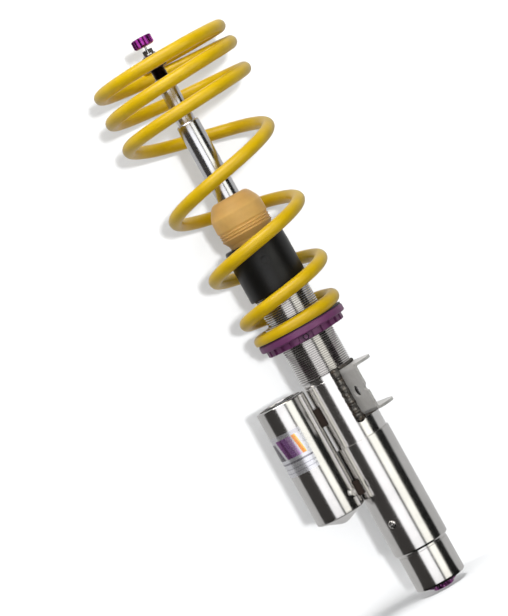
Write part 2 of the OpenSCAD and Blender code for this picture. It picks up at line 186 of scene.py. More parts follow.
def settle(obj, finish, node):
    """Gives a finished piece its material and its body, and hides the CAD node it stands for."""
    obj.data.materials.clear()
    obj.data.materials.append(finish)
    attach(obj, BODY_OF[node])
    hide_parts(node)
    return obj


def piece(name, shells, finish, node, crease=35):
    """A finished piece from shells of (vertices, faces) in mm."""
    obj = bpy.data.objects.new(name, as_mesh(name, shells, crease))
    bpy.context.scene.collection.objects.link(obj)
    return settle(obj, finish, node)


# ---- geometry node trees ----

def add_node(tree, kind, links=None, **settings):
    """A new node; links maps its input names or numbers to sockets or plain values."""
    node = tree.nodes.new(kind)
    for key, value in settings.items():
        setattr(node, key, value)
    for key, value in (links or {}).items():
        if isinstance(value, bpy.types.NodeSocket):
            tree.links.new(value, node.inputs[key])
        else:
            node.inputs[key].default_value = value
    return node


class Tree:
    """A Geometry Nodes tree with named inputs for its sizes."""

    def __init__(self, name, **sizes):
        self.group = bpy.data.node_groups.new(name, "GeometryNodeTree")
        self.sizes = sizes
        face = self.group.interface
        face.new_socket("Geometry", in_out="INPUT", socket_type="NodeSocketGeometry")
        face.new_socket("Geometry", in_out="OUTPUT", socket_type="NodeSocketGeometry")
        for label, value in sizes.items():
            kind = "NodeSocketInt" if isinstance(value, int) else "NodeSocketFloat"
            face.new_socket(label, in_out="INPUT", socket_type=kind)
        self.start = self.group.nodes.new("NodeGroupInput")
        self.end = self.group.nodes.new("NodeGroupOutput")

    def add(self, kind, links=None, **settings):
        return add_node(self.group, kind, links, **settings)

    def size(self, label):
        return self.start.outputs[label]

    def finish(self, geometry, material):
        real = self.add("GeometryNodeRealizeInstances", {0: geometry})
        painted = self.add("GeometryNodeSetMaterial", {0: real.outputs[0], "Material": material})
        self.group.links.new(painted.outputs[0], self.end.inputs[0])

    def grow(self, name, source):
        """Runs the tree on source and returns the result's mesh; source is removed."""
        modifier = source.modifiers.new(name, "NODES")
        modifier.node_group = self.group
        for item in self.group.interface.items_tree:
            if item.in_out == "INPUT" and item.name in self.sizes:
                modifier[item.identifier] = self.sizes[item.name]
        bpy.context.view_layer.update()
        graph = bpy.context.evaluated_depsgraph_get()
        mesh = bpy.data.meshes.new_from_object(source.evaluated_get(graph))
        mesh.name = name
        source.modifiers.remove(modifier)
        bpy.data.objects.remove(source)
        return mesh


def path_object(name, points, radii=None):
    """A poly curve through points in mm, with a thickness factor at each."""
    curve = bpy.data.curves.new(name, "CURVE")
    curve.dimensions = "3D"
    line = curve.splines.new("POLY")
    line.points.add(len(points) - 1)
    for i, point in enumerate(points):
        line.points[i].co = (*(Vector(point) * MM), 1)
        line.points[i].radius = radii[i] if radii else 1.0
    obj = bpy.data.objects.new(name, curve)
    bpy.context.scene.collection.objects.link(obj)
    return obj


def seed_object(name):
    obj = bpy.data.objects.new(name, bpy.data.meshes.new(name))
    bpy.context.scene.collection.objects.link(obj)
    return obj


def sweep_tree(name, material, **sizes):
    """Round wire along the source curve, as thick as its points say, with closed ends."""
    tree = Tree(name, **sizes)
    up = tree.add("GeometryNodeSetCurveNormal", {0: tree.start.outputs[0]}, mode="Z_UP")
    ring = tree.add("GeometryNodeCurvePrimitiveCircle", {
        "Resolution": tree.size("Sides"), "Radius": tree.size("Wire radius")})
    radius = tree.add("GeometryNodeInputRadius")
    wire = tree.add("GeometryNodeCurveToMesh", {
        0: up.outputs[0], 1: ring.outputs[0], "Scale": radius.outputs[0], "Fill Caps": True})
    tree.finish(wire.outputs[0], material)
    return tree


def thread_tree(name, material, **sizes):
    """A square rod on edge, wound along a helix, half sunk: the flanks of a screw thread."""
    tree = Tree(name, **sizes)
    spiral = tree.add("GeometryNodeCurveSpiral", {
        "Resolution": tree.size("Steps"), "Rotations": tree.size("Turns"),
        "Start Radius": tree.size("Root radius"), "End Radius": tree.size("Root radius"),
        "Height": tree.size("Length")})
    up = tree.add("GeometryNodeSetCurveNormal", {0: spiral.outputs[0]}, mode="Z_UP")
    edge = tree.add("GeometryNodeCurvePrimitiveCircle", {
        "Resolution": 4, "Radius": tree.size("Depth")})
    ridge = tree.add("GeometryNodeCurveToMesh", {
        0: up.outputs[0], 1: edge.outputs[0], "Fill Caps": True})
    tree.finish(ridge.outputs[0], material)
    return tree


def ripple_tree(name, material, **sizes):
    """Overlapping flattened beads along the source curve, as a weld is laid down."""
    tree = Tree(name, **sizes)
    points = tree.add("GeometryNodeCurveToPoints", {
        0: tree.start.outputs[0], "Length": tree.size("Ripple step")}, mode="LENGTH")
    bead = tree.add("GeometryNodeMeshIcoSphere", {
        "Radius": tree.size("Bead radius"), "Subdivisions": 3})
    vary = tree.add("FunctionNodeRandomValue", {
        "Seed": tree.size("Seed"), 0: (0.88, 0.85, 0.6), 1: (1.04, 1.05, 0.8)},
        data_type="FLOAT_VECTOR")
    laid = tree.add("GeometryNodeInstanceOnPoints", {
        "Points": points.outputs["Points"], "Instance": bead.outputs["Mesh"],
        "Rotation": points.outputs["Rotation"], "Scale": vary.outputs["Value"]})
    smooth = tree.add("GeometryNodeSetShadeSmooth", {0: laid.outputs[0]})
    tree.finish(smooth.outputs[0], material)
    return tree


def join_shells(name, parts):
    """One mesh from several, each already in place in metres."""
    bm = bmesh.new()
    for part in parts:
        bm.from_mesh(part)
    mesh = bpy.data.meshes.new(name)
    bm.to_mesh(mesh)
    bm.free()
    return mesh


def from_mesh(name, mesh, finish, node, crease=None):
    """A finished piece from a mesh that is already in place in metres."""
    if crease is not None:
        mesh.polygons.foreach_set("use_smooth", [True] * len(mesh.polygons))
        mesh.set_sharp_from_angle(angle=math.radians(crease))
    obj = bpy.data.objects.new(name, mesh)
    bpy.context.scene.collection.objects.link(obj)
    return settle(obj, finish, node)


# ---- finishes ----

class Finish:
    """A material under construction: a Principled shader and the nodes that feed it."""

    def __init__(self, name, **sockets):
        self.material = bpy.data.materials.new(name)
        self.material.use_nodes = True
        self.tree = self.material.node_tree
        self.shader = self.tree.nodes["Principled BSDF"]
        self.position = self.add("ShaderNodeTexCoord").outputs["Object"]
        for key, value in sockets.items():
            self.shader.inputs[key.replace("_", " ")].default_value = value

    def add(self, kind, links=None, **settings):
        return add_node(self.tree, kind, links, **settings)

    def stretched(self, x, y, z):
        """Object coordinates counted in features per metre along each axis."""
        return self.add("ShaderNodeMapping", {"Vector": self.position, "Scale": (x, y, z)}).outputs[0]

    def height(self):
        return self.add("ShaderNodeSeparateXYZ", {0: self.position}).outputs["Z"]

    def maths(self, operation, *values):
        return self.add("ShaderNodeMath", dict(enumerate(values)), operation=operation).outputs[0]

    def grain(self, x, y, z, detail=3.0, roughness=0.55):
        """Cloudy noise with so many features per metre along each axis."""
        return self.add("ShaderNodeTexNoise", {
            "Vector": self.stretched(x, y, z), "Scale": 1.0, "Detail": detail,
            "Roughness": roughness}).outputs["Fac"]

    def shift(self, value, low, high, to_low, to_high):
        return self.add("ShaderNodeMapRange", {
            "Value": value, "From Min": low, "From Max": high,
            "To Min": to_low, "To Max": to_high}).outputs["Result"]

    def ramp(self, value, stops):
        """Plain bands of colour, each from its place on."""
        node = self.add("ShaderNodeValToRGB", {0: value})
        node.color_ramp.interpolation = "CONSTANT"
        while len(node.color_ramp.elements) < len(stops):
            node.color_ramp.elements.new(0.5)
        for element, (spot, colour) in zip(node.color_ramp.elements, stops):
            element.position = min(spot, 1.0)
            element.color = (*colour, 1)
        return node.outputs[0]

    def blend(self, amount, first, second):
        node = self.add("ShaderNodeMix", data_type="RGBA")
        for socket, value in ((0, amount), (6, first), (7, second)):
            if isinstance(value, bpy.types.NodeSocket):
                self.tree.links.new(value, node.inputs[socket])
            else:
                node.inputs[socket].default_value = value if socket == 0 else (*value, 1)
        return node.outputs[2]

    def relief(self, height, strength, distance, below=None):
        links = {"Height": height, "Strength": strength, "Distance": distance * MM}
        if below:
            links["Normal"] = below
        return self.add("ShaderNodeBump", links).outputs[0]

    def wire(self, **sockets):
        for key, value in sockets.items():
            self.tree.links.new(value, self.shader.inputs[key.replace("_", " ")])
        return self.material


def metal(name, colour, roughness, spread=0.04, grain=0.02, lines=900, blotch=0.12):
    """Turned metal: fine marks round the axis, cloudy roughness and a slightly uneven tint."""
    f = Finish(name, Metallic=1.0)
    clouds = f.grain(45, 45, 28, detail=4)
    marks = f.grain(30, 30, lines, detail=2)
    tint = f.blend(f.shift(clouds, 0.35, 0.7, 0.0, 1.0),
                   tuple(c * (1 - blotch) for c in colour), colour)
    gloss = f.shift(f.maths("ADD", clouds, marks), 0.6, 1.4, roughness - spread, roughness + spread)
    return f.wire(Base_Color=tint, Roughness=gloss, Normal=f.relief(marks, grain, 0.05))


def polished_steel():
    return metal("polished steel", (0.70, 0.685, 0.67), 0.18, spread=0.03, grain=0.10, lines=700)


def threaded_steel():
    """The polished tube; its colour is painted darker at the roots of its thread, a painted shade in the
    grooves.
    """
    f = Finish("threaded tube steel", Metallic=1.0)
    marks = f.grain(30, 30, 700, detail=2)
    across = f.add("ShaderNodeVectorMath", {0: f.stretched(1, 1, 0)}, operation="LENGTH")
    # crest is 1 on the thread's crests and 0 in its roots; the roots take the darker tint, a painted
    # shade
    crest = f.shift(across.outputs["Value"], 25.25 * MM, 25.6 * MM, 0.0, 1.0)
    height = f.height()
    plain = f.shift(height, THREAD_LOW * MM, (THREAD_LOW - 0.4) * MM, 0.0, 1.0)
    bright = f.maths("MAXIMUM", crest, plain)
    # painted shade: darker tint in the thread roots, full tint on the crests and on the plain tube below
    tint = f.blend(bright, (0.50, 0.49, 0.48), (0.72, 0.705, 0.69))
    rough = f.shift(marks, 0.3, 0.7, 0.15, 0.21)
    return f.wire(Base_Color=tint, Roughness=rough, Normal=f.relief(marks, 0.10, 0.05))


def rod_chrome():
    """Ground chrome on the shaft and pin; the threaded end above them is black."""
    f = Finish("hard chrome", Metallic=1.0)
    clouds = f.grain(45, 45, 28, detail=4)
    marks = f.grain(30, 30, 500, detail=2)
    height = f.height()
    thread = f.shift(height, PIN_TOP * MM, (PIN_TOP + 0.3) * MM, 0.0, 1.0)
    tip = f.shift(height, (HEX_LOW - 5) * MM, (HEX_LOW - 5.3) * MM, 0.0, 1.0)
    black = f.maths("MULTIPLY", thread, tip)
    bright = f.blend(f.shift(clouds, 0.35, 0.7, 0.0, 1.0), (0.62, 0.62, 0.63), (0.67, 0.67, 0.68))
    tint = f.blend(black, bright, (0.055, 0.035, 0.032))
    rough = f.shift(marks, 0.3, 0.7, 0.17, 0.23)
    return f.wire(Base_Color=tint, Roughness=rough, Normal=f.relief(marks, 0.04, 0.05))


def sheet_steel():
    """Pickled sheet: a dull satin face with rolling grain and faint stains."""
    f = Finish("sheet steel", Metallic=0.5)
    grain = f.grain(160, 160, 1500, detail=3)
    stain = f.grain(60, 60, 60, detail=5, roughness=0.7)
    tint = f.blend(f.shift(stain, 0.4, 0.75, 0.0, 1.0), (0.56, 0.55, 0.53), (0.68, 0.67, 0.65))
    gloss = f.shift(stain, 0.3, 0.7, 0.34, 0.5)
    return f.wire(Base_Color=tint, Roughness=gloss, Normal=f.relief(grain, 0.15, 0.06))


def weld_metal(name="weld bead", dark=(0.07, 0.065, 0.06), light=(0.24, 0.23, 0.21), gloss=0.5):
    """Rippled weld with a heat-stained crust that is worn brighter on its high places."""
    f = Finish(name, Metallic=1.0)
    crust = f.grain(420, 420, 420, detail=5, roughness=0.65)
    heat = f.grain(130, 130, 160, detail=2)
    tint = f.blend(f.shift(crust, 0.4, 0.7, 0.0, 1.0), dark, light)
    stain_and_gap_shade = f.blend(f.shift(heat, 0.5, 0.75, 0.0, 0.5), tint, (0.20, 0.13, 0.07))
    rough = f.shift(crust, 0.3, 0.7, gloss + 0.12, gloss - 0.1)
    return f.wire(Base_Color=stain_and_gap_shade, Roughness=rough, Normal=f.relief(crust, 0.5, 0.35))


def spring_paint():
    """Powder coat: warm yellow with a fine orange peel under a soft gloss."""
    f = Finish("spring paint", Coat_Weight=0.28, Coat_Roughness=0.28, Specular_IOR_Level=0.25)
    peel = f.grain(900, 900, 900, detail=2)
    cloud = f.grain(60, 60, 60, detail=3)
    tint = f.blend(f.shift(cloud, 0.3, 0.7, 0.0, 1.0), (0.62, 0.395, 0.0), (0.71, 0.47, 0.0))
    rough = f.shift(peel, 0.3, 0.7, 0.30, 0.42)
    return f.wire(Base_Color=tint, Roughness=rough, Normal=f.relief(peel, 0.10, 0.08))


def stop_foam():
    """Cast foam: matt mottled tan skin with small pores, with painted shade at the waist and the crown.
    """
    f = Finish("bump stop foam", Subsurface_Weight=0.15, Subsurface_Radius=(0.004, 0.002, 0.001),
               Sheen_Weight=0.15, Sheen_Roughness=0.5)
    mottle = f.grain(110, 110, 110, detail=5, roughness=0.6)
    pores = f.add("ShaderNodeTexVoronoi", {"Vector": f.stretched(900, 900, 900), "Scale": 1.0})
    pit = f.shift(pores.outputs["Distance"], 0.0, 0.35, 0.0, 1.0)
    height = f.height()
    # painted shade: the skin is tinted darker below the ribs and on the crown, where less light falls on
    # it
    waist = f.shift(height, 372 * MM, 364 * MM, 0.0, 0.55)
    crown = f.shift(height, 385 * MM, 391 * MM, 0.0, 0.6)
    skin = f.blend(f.shift(mottle, 0.3, 0.7, 0.0, 1.0), (0.76, 0.46, 0.13), (0.85, 0.53, 0.16))
    tint = f.blend(f.maths("MAXIMUM", waist, crown), skin, (0.56, 0.31, 0.08))
    rough = f.shift(mottle, 0.3, 0.7, 0.5, 0.68)
    soft = f.relief(mottle, 0.08, 0.4)
    return f.wire(Base_Color=tint, Roughness=rough, Normal=f.relief(pit, 0.12, 0.15, below=soft))


def sleeve_plastic():
    """Black moulded plastic with a fine spark texture, rubbed smoother in places."""
    f = Finish("sleeve plastic", Specular_IOR_Level=0.32)
    spark = f.grain(1300, 1300, 1300, detail=2)
    rubbed = f.grain(50, 50, 35, detail=4)
    tint = f.blend(f.shift(rubbed, 0.35, 0.7, 0.0, 1.0), (0.004, 0.004, 0.0038), (0.008, 0.0078, 0.0072))
    rough = f.shift(rubbed, 0.3, 0.7, 0.44, 0.32)
    return f.wire(Base_Color=tint, Roughness=rough, Normal=f.relief(spark, 0.12, 0.06))


def moulded(name, dark, light, low, high, texture=1100):
    """A moulded part: two close tints, a fine surface texture and an even sheen."""
    f = Finish(name)
    skin = f.grain(texture, texture, texture, detail=2)
    cloud = f.grain(70, 70, 70, detail=4)
    tint = f.blend(f.shift(cloud, 0.3, 0.7, 0.0, 1.0), dark, light)
    rough = f.shift(cloud, 0.3, 0.7, high, low)
    return f.wire(Base_Color=tint, Roughness=rough, Normal=f.relief(skin, 0.12, 0.06))


def anodised(name, dark, light, gloss):
    """Dyed aluminium: a metallic tint over lathe marks, paler where the dye took less."""
    f = Finish(name, Metallic=1.0)
    marks = f.grain(60, 60, 1600, detail=2)
    cloud = f.grain(180, 180, 180, detail=3)
    tint = f.blend(f.shift(cloud, 0.35, 0.7, 0.0, 1.0), dark, light)
    rough = f.shift(marks, 0.3, 0.7, gloss - 0.05, gloss + 0.05)
    return f.wire(Base_Color=tint, Roughness=rough, Normal=f.relief(marks, 0.08, 0.05))


def label_film():
    """Printed foil: a slanted run of plain colour over a pale field with thin rules."""
    f = Finish("label film", Metallic=0.75)
    split = f.add("ShaderNodeSeparateXYZ", {0: f.position}).outputs
    level = f.shift(split["Z"], LABEL.low * MM, LABEL.high * MM, 0.0, 1.0)
    across = f.shift(split["X"], (RESERVOIR.x - 22) * MM, (RESERVOIR.x + 4) * MM, 0.0, 1.0)
    slant = f.maths("MULTIPLY_ADD", level, 0.22, across)
    run = f.ramp(slant, [
        (0.0, (0.10, 0.09, 0.11)), (0.18, (0.62, 0.60, 0.64)), (0.26, (0.20, 0.05, 0.22)),
        (0.44, (0.42, 0.18, 0.50)), (0.62, (0.60, 0.36, 0.66)), (0.78, (0.66, 0.60, 0.66)),
        (0.84, (0.72, 0.27, 0.05)), (0.95, (0.80, 0.55, 0.12)), (1.02, (0.74, 0.74, 0.77))])
    field, rule = (0.74, 0.74, 0.78), (0.42, 0.42, 0.46)
    rules = f.ramp(level, [(0.0, field), (0.08, rule), (0.10, field), (0.18, rule), (0.20, field),
                           (0.30, (0.30, 0.29, 0.33)), (0.34, (0.72, 0.72, 0.76)),
                           (0.90, (0.64, 0.63, 0.66))])
    lower = f.maths("LESS_THAN", level, 0.42)
    upper = f.maths("GREATER_THAN", level, 0.90)
    plain = f.maths("MAXIMUM", lower, upper)
    ink = f.grain(500, 500, 500, detail=3)
    printed = f.blend(plain, run, rules)
    tint = f.blend(f.shift(ink, 0.35, 0.65, 0.0, 0.12), printed, (0.9, 0.9, 0.92))
    rough = f.shift(ink, 0.3, 0.7, 0.24, 0.32)
    return f.wire(Base_Color=tint, Roughness=rough, Normal=f.relief(ink, 0.05, 0.05))


def grub_face():
    """The lock screw's end: a near-black ring, painted shade of the groove round the screw, round a paler
    socket.
    """
    f = Finish("lock screw face", Metallic=0.6)
    off = f.add("ShaderNodeVectorMath", {0: f.position, 1: (0, 0, LOCK_Z * MM)}, operation="SUBTRACT")
    flat = f.add("ShaderNodeVectorMath", {0: off.outputs[0], 1: (1, 0, 1)}, operation="MULTIPLY")
    away = f.add("ShaderNodeVectorMath", {0: flat.outputs[0]}, operation="LENGTH").outputs["Value"]
    wear = f.grain(700, 700, 700, detail=3)
    # painted shade: beyond 2 mm from the screw's axis the end is near black, standing in for the shaded
    # groove round it
    tint = f.blend(f.shift(away, 1.7 * MM, 2.0 * MM, 0.0, 1.0), (0.40, 0.26, 0.38), (0.03, 0.012, 0.03))
    rough = f.shift(wear, 0.3, 0.7, 0.3, 0.45)
    return f.wire(Base_Color=tint, Roughness=rough, Normal=f.relief(wear, 0.1, 0.05))


FINISHES = {
    "polished_steel": polished_steel(),
    "threaded_steel": threaded_steel(),
    "rod_chrome": rod_chrome(),
    "sheet_steel": sheet_steel(),
    "weld_bead": weld_metal(),
    "weld_dot": weld_metal("weld dot", (0.30, 0.29, 0.28), (0.75, 0.73, 0.70), 0.25),
    "black_steel": metal("blackened steel", (0.045, 0.047, 0.045), 0.34, blotch=0.3),
    "knob_anodised": anodised("rebound knob dye", (0.24, 0.02, 0.22), (0.38, 0.06, 0.35), 0.24),
    "lower_knob_anodised": anodised("lower knob dye", (0.10, 0.018, 0.10), (0.34, 0.12, 0.30), 0.24),
    "collar_plastic": moulded("collar plastic", (0.14, 0.030, 0.115), (0.195, 0.048, 0.155),
                              0.38, 0.5),
    "spring_paint": spring_paint(),
    "sleeve_plastic": sleeve_plastic(),
    "foam": stop_foam(),
    "machined_alloy": metal("machined alloy", (0.74, 0.74, 0.75), 0.28, grain=0.1, lines=1200),
    "cartridge_brass": metal("cartridge brass", (0.74, 0.50, 0.19), 0.25, grain=0.08),
    "inner_steel": metal("ground steel", (0.58, 0.57, 0.56), 0.2, grain=0.06),
    "shim_steel": metal("shim steel", (0.50, 0.54, 0.60), 0.24, grain=0.04),
    "seal_rubber": moulded("seal rubber", (0.010, 0.010, 0.010), (0.020, 0.019, 0.018), 0.5, 0.7),
    "bearing_band": moulded("bearing band", (0.10, 0.045, 0.02), (0.16, 0.07, 0.03), 0.35, 0.5),
    # painted contact shade: the slip ring is near black so that it shows as the dark line where the
    # spring sits on its plate
    "slip_plastic": moulded("slip ring plastic as painted contact shade", (0.012, 0.012, 0.012), (0.022, 0.022, 0.022),
                            0.4, 0.55),
    "pad_plastic": moulded("pad plastic", (0.55, 0.55, 0.52), (0.66, 0.66, 0.63), 0.4, 0.55),
    "label_film": label_film(),
    "grub_face": grub_face(),
}


def dress_cad_nodes():
    """Every node that stays takes the finish of its slot; the block and the saddle in the gap between
    reservoir and tube are near black, a painted shade of the gap.
    """
    # painted shade: near-black steel for the parts in the shaded gap beside the strut
    stain_and_gap_shade = metal("bridge steel in painted gap shade", (0.035, 0.025, 0.022), 0.3, grain=0.03)
    for node, obj in NODES.items():
        gap = node in ("bridge_block", "reservoir_saddle")
        obj.data.materials.clear()
        obj.data.materials.append(stain_and_gap_shade if gap else FINISHES[SLOT_OF[node]])


# ---- strut tube ----

def lower_housing():
    """Clamped foot, shoulder with its undercut line, and the wide barrel up to the seam."""
    foot = HOUSING.low
    outline = eased([
        (SPIGOT_R, foot, 0), (CLAMP_R - 1.4, foot), (CLAMP_R, 0, 1.0), (CLAMP_R, CLAMP_TOP - 2.2, 0.2),
        (CLAMP_R - 0.5, CLAMP_TOP - 1.9, 0.2), (CLAMP_R - 0.5, CLAMP_TOP, 0.1),
        (HOUSING.r - 1.5, CLAMP_TOP, 0.3), (HOUSING.r, CLAMP_TOP + 1.5, 0.6),
        (HOUSING.r, HOUSING.high, 0.35), (SPIGOT_R, HOUSING.high, 0)])
    piece("housing_barrel", [turned(outline)], FINISHES["polished_steel"], "lower_housing")


def threaded_tube():
    """Smooth tube, relief and the wound perch thread, with a chamfered mouth."""
    core = eased([
        (TUBE_BORE, TUBE.low, 0.3), (SPIGOT_R, TUBE.low, 0.3), (SPIGOT_R, HOUSING.high, 0),
        (SMOOTH_R, HOUSING.high, 0.2), (SMOOTH_R, RELIEF_LOW, 0.25), (RELIEF_R, RELIEF_LOW + 0.5, 0.2),
        (RELIEF_R, TUBE.high - 0.8, 0.3), (RELIEF_R - 0.6, TUBE.high, 0.3), (TUBE_BORE, TUBE.high, 0.4)])
    length = TUBE.high - THREAD_LOW - 2.4
    tree = thread_tree("perch thread", FINISHES["threaded_steel"], **{
        "Steps": 128, "Turns": length / THREAD_PITCH, "Root radius": RELIEF_R * MM,
        "Length": length * MM, "Depth": THREAD_DEPTH * MM})
    ridge = tree.grow("perch_thread", seed_object("thread_seed"))
    ridge.transform(Matrix.Translation((0, 0, (THREAD_LOW + 1.2) * MM)))
    body = as_mesh("tube_core", [turned(core)])
    piece_mesh = join_shells("threaded_tube_piece", [body, ridge])
    from_mesh("strut_tube", piece_mesh, FINISHES["threaded_steel"], "threaded_tube", crease=30)


def weld_lump(name, node, centre, outward, across, deep, seed, finish):
    """One proud blob of weld, uneven all over, sunk into the wall it sits on."""
    bm = bmesh.new()
    bmesh.ops.create_icosphere(bm, subdivisions=5, radius=1)
    turn = Vector(outward).to_track_quat("Z", "Y").to_matrix()
    for v in bm.verts:
        p = v.co.copy()
        swell = 1 + 0.16 * noise.noise(p * 1.7 + Vector((seed, 0, 0))) \
            + 0.07 * noise.noise(p * 5 + Vector((0, seed, 0)))
        ring = 0.05 * math.cos(9 * math.hypot(p.x, p.y))
        local = Vector((p.x * across, p.y * across, p.z * deep * (1 + ring))) * swell
        v.co = (Vector(centre) + turn @ local) * MM
    mesh = bpy.data.meshes.new(name)
    bm.to_mesh(mesh)
    bm.free()
    return from_mesh(name, mesh, finish, node, crease=180)


def locating_weld():
    spot = place("locating_weld")
    angle = math.radians(-90 - 33)
    outward = (math.cos(angle), math.sin(angle), 0)
    middle = (spot.low + spot.high) / 2
    centre = (outward[0] * (HOUSING.r - 0.5), outward[1] * (HOUSING.r - 0.5), middle)
    weld_lump("weld_button", "locating_weld", centre, outward, (spot.high - spot.low) / 2 * 0.92,
              2.1, 4.0, FINISHES["weld_dot"])


# ---- link bracket ----

def bracket_point(out, side, height):
    c, s = math.cos(BRACKET_TURN), math.sin(BRACKET_TURN)
    return (out * c - side * s, out * s + side * c, height)


def bracket_weld():
    """The upright bead along the web, and the two short beads above and below the flanges."""
    low, high = place("link_bracket").low, place("link_bracket").high
    upright = [bracket_point(25.6 + 0.4 * math.sin(i * 0.9), WEB_FACE - 2.2, low - 1.5 + t)
               for i, t in enumerate(range(0, round(high - low) + 3))]
    tree = ripple_tree("upright bead", FINISHES["weld_bead"], **{
        "Ripple step": 1.5 * MM, "Bead radius": 4.7 * MM, "Seed": 3})
    beads = [tree.grow("upright_bead", path_object("upright_path", upright))]
    for number, z in enumerate((low - 1.3, high + 1.3)):
        arc = [bracket_point(26.0 * math.cos(a), 26.0 * math.sin(a), z)
               for a in (math.radians(-4 + 56 * k / 30) for k in range(31))]
        tree = ripple_tree("flange bead", FINISHES["weld_bead"], **{
            "Ripple step": 1.1 * MM, "Bead radius": 1.9 * MM, "Seed": 11 + number})
        beads.append(tree.grow("flange_bead", path_object("flange_path", arc)))
    from_mesh("bracket_bead", join_shells("bracket_bead", beads), FINISHES["weld_bead"],
              "bracket_weld")


# ---- reservoir ----

def reservoir():
    """The barrel with its circlip groove, and the cone-shaped cap under it."""
    centre = (RESERVOIR.x, RESERVOIR.y)
    r, low, high = RESERVOIR.r, RESERVOIR.low, RESERVOIR.high
    outline = eased([
        (RES_BORE, low, 0), (r, low, 0.25), (r, high - 1, 0.6), (r - 1, high, 0.5),
        (RES_BORE, high, 0.3), (RES_BORE, high - 1.7, 0), (RES_BORE + 0.8, high - 1.7, 0),
        (RES_BORE + 0.8, high - 3.2, 0), (RES_BORE, high - 3.2, 0)])
    piece("reservoir_barrel", [turned(outline, centre=centre)], FINISHES["polished_steel"],
          "reservoir_tube")
    tip = BASE_CAP.low
    cap = eased([
        (0, low + 8), (RES_BORE, low + 8, 0.4), (RES_BORE, low, 0), (r, low, 0.2), (r, low - 1, 0.8),
        (r - 2, low - 2.4, 0.8), (19, low - 3, 1.2), (4, tip + 0.6, 2.0), (0, tip)])
    piece("reservoir_foot", [turned(cap, centre=centre)], FINISHES["polished_steel"],
          "reservoir_base_cap")


def label_band():
    """The foil, wrapped part of the way round the reservoir."""
    span = math.radians(121)
    start = math.radians(-90 - 108)
    steps, rows = 90, 24
    inner, outer = RESERVOIR.r + 0.01, RESERVOIR.r + 0.2
    verts = []
    for radius in (inner, outer):
        for i in range(rows + 1):
            z = LABEL.low + (LABEL.high - LABEL.low) * i / rows
            for j in range(steps + 1):
                a = start + span * j / steps
                verts.append((RESERVOIR.x + radius * math.cos(a), RESERVOIR.y + radius * math.sin(a), z))
    wide, layer = steps + 1, (steps + 1) * (rows + 1)
    faces = []
    for i in range(rows):
        for j in range(steps):
            a = i * wide + j
            quad = (a, a + 1, a + 1 + wide, a + wide)
            faces.append(tuple(layer + k for k in quad))
            faces.append(tuple(reversed(quad)))
    rim = list(range(wide)) + [i * wide + steps for i in range(1, rows + 1)] \
        + [rows * wide + j for j in range(steps - 1, -1, -1)] + [i * wide for i in range(rows - 1, 0, -1)]
    for k, a in enumerate(rim):
        b = rim[(k + 1) % len(rim)]
        faces.append((a, b, layer + b, layer + a))
    piece("label_foil", [(verts, faces)], FINISHES["label_film"], "reservoir_label")


# ---- notched and planed rims ----

def bitten(count, circle_reach, circle_r, offset, height_low=-1e9, height_high=1e9):
    """A reach rule: round bites taken out of a rim by circles that stand round the axis."""
    def reach(angle, radius, height):
        if not height_low <= height <= height_high:
            return radius
        step = FULL / count
        off = (angle - offset + step / 2) % step - step / 2
        across = circle_reach * math.sin(off)
        if abs(across) >= circle_r:
            return radius
        edge = circle_reach * math.cos(off) - math.sqrt(circle_r ** 2 - across ** 2)
        return min(radius, edge)
    return reach


def six_flats(flat, inner):
    """A reach rule: six flats planed on everything that stands further out than inner."""
    def reach(angle, radius, height):
        off = (angle + FULL / 12) % (FULL / 6) - FULL / 12
        return min(radius, flat / math.cos(off)) if radius > inner else radius
    return reach


# ---- adjuster knobs ----

def rebound_knob():
    """Dyed dial with nine finger scallops and a shallow recess in its top."""
    low, high, r = TOP_KNOB.low, TOP_KNOB.high, 9.85
    outline = eased([
        (1.15, low), (r - 2.2, low, 0.3), (r - 1, low + 0.3, 0.3), (r, low + 1.3, 0.4),
        (r, high - 1.1, 0.4), (r - 1, high - 0.2, 0.3), (r - 2, high, 0.3), (5.2, high, 0.2),
        (4.9, high - 0.5, 0.2), (1.15, high - 0.5, 0.1)])
    rule = bitten(9, r + 1.3, 2.6, math.radians(-70))
    piece("rebound_dial", [turned(outline, steps=360, reach=rule)], FINISHES["knob_anodised"],
          "rebound_knob", crease=28)


def compression_knob():
    """Dyed dial with eighteen notches round its wide rim and a dented hub under it."""
    low, step, top = LOW_KNOB.low, LOW_KNOB.low + 3, LOW_KNOB.high
    outline = eased([
        (3, low, 0.1), (9.5, low, 0.3), (10.3, low + 0.8, 0.3), (10.3, step, 0.1), (13.4, step, 0.2),
        (14.2, step + 0.7, 0.3), (14.2, top - 0.7, 0.3), (13.4, top, 0.2), (3, top, 0.1)], arc=2)
    teeth = bitten(18, 14.6, 1.5, 0, height_low=step - 0.01)
    dents = bitten(8, 10.6, 1.3, 0, height_high=step - 0.02)

    def rule(angle, radius, height):
        return dents(angle, teeth(angle, radius, height), height) if radius > 8 else radius
    piece("compression_dial", [turned(outline, steps=360, reach=rule)],
          FINISHES["lower_knob_anodised"], "compression_knob", crease=28)


# ---- rod ----

